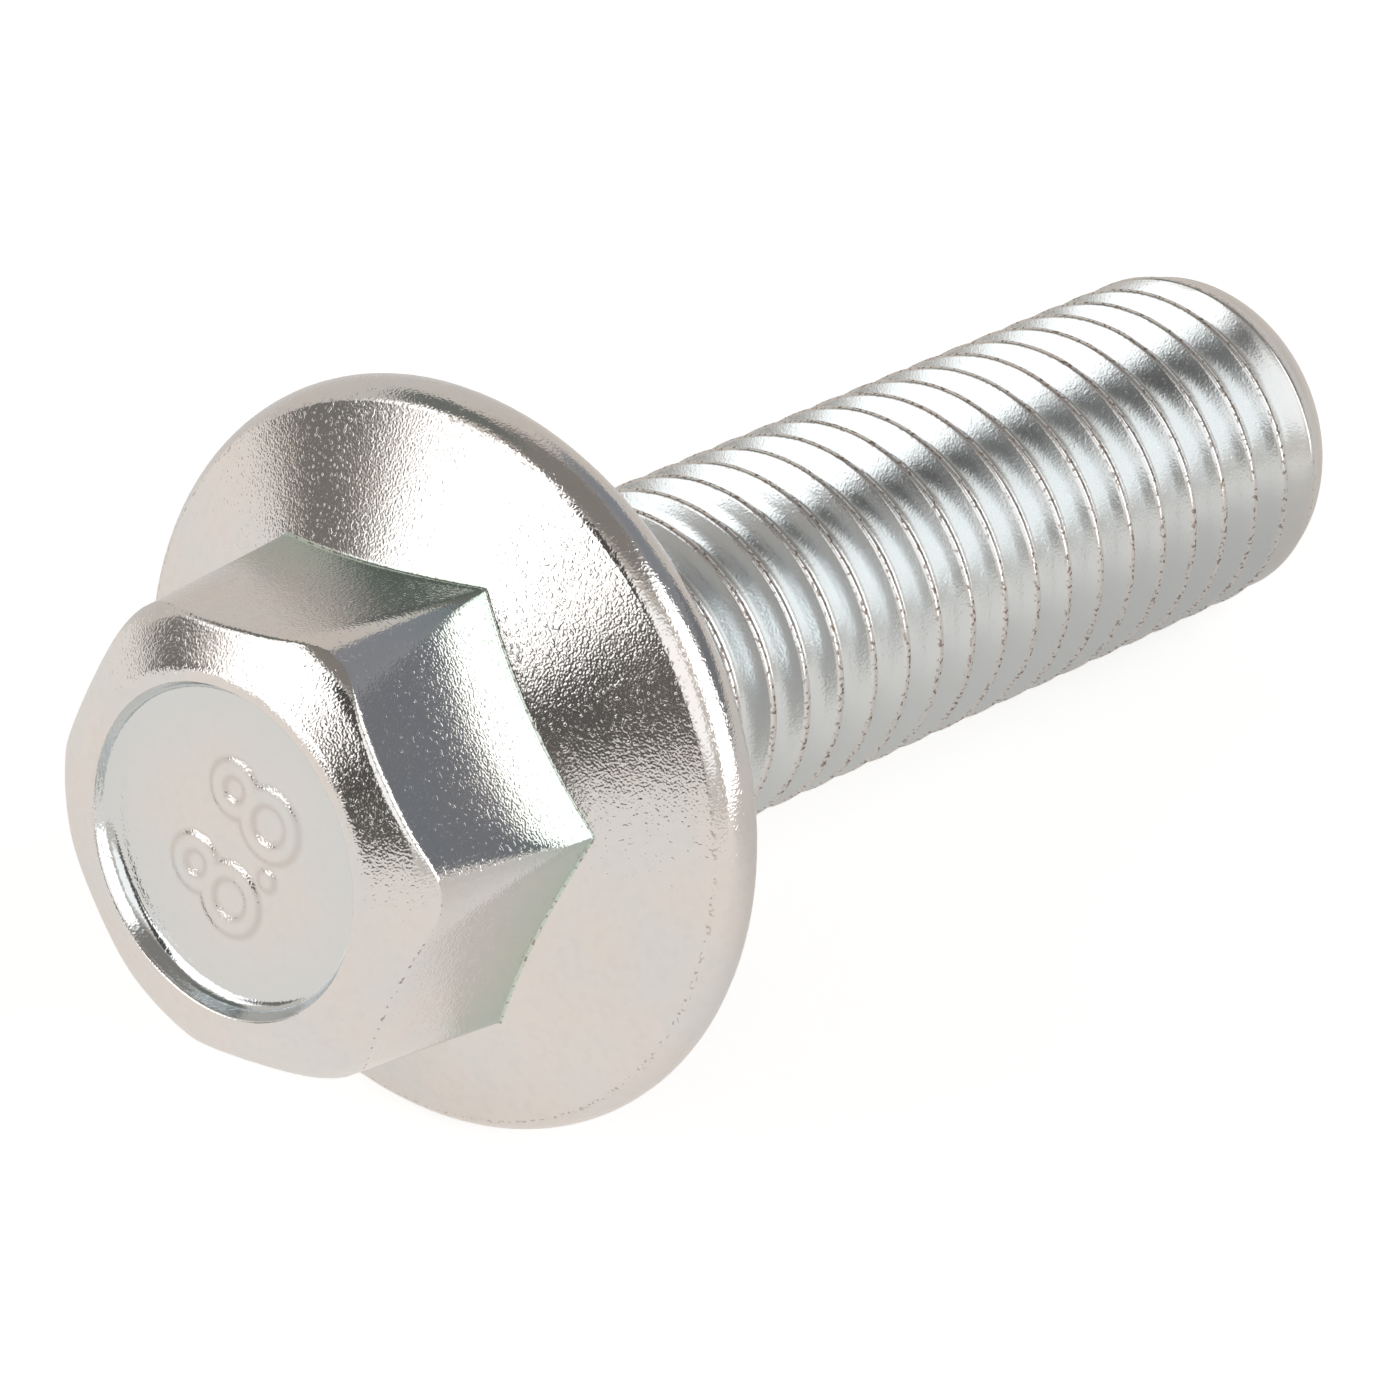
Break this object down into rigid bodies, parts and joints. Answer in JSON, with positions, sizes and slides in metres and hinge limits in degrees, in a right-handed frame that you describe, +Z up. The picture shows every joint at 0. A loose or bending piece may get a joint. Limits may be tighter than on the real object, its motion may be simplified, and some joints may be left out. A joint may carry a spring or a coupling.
{
  "type": "hexagon flange bolt",
  "caption": "Zinc-plated hexagon flange bolt with a dished head, a conical flange and a shank threaded up to the flange, lying on its flange rim and tip.",
  "frame": {"origin": "centre of the bounding box on the floor, below the shank", "axes": "+Z up, +X along the lying bolt from the head towards the tip, +Y to the side"},
  "size_m": [0.053, 0.0256, 0.0253],
  "materials": {
    "zinc_plate": "bright zinc plate"
  },
  "bodies": {
    "root": {"flange_bolt": "zinc_plate"}
  },
  "joints": []
}
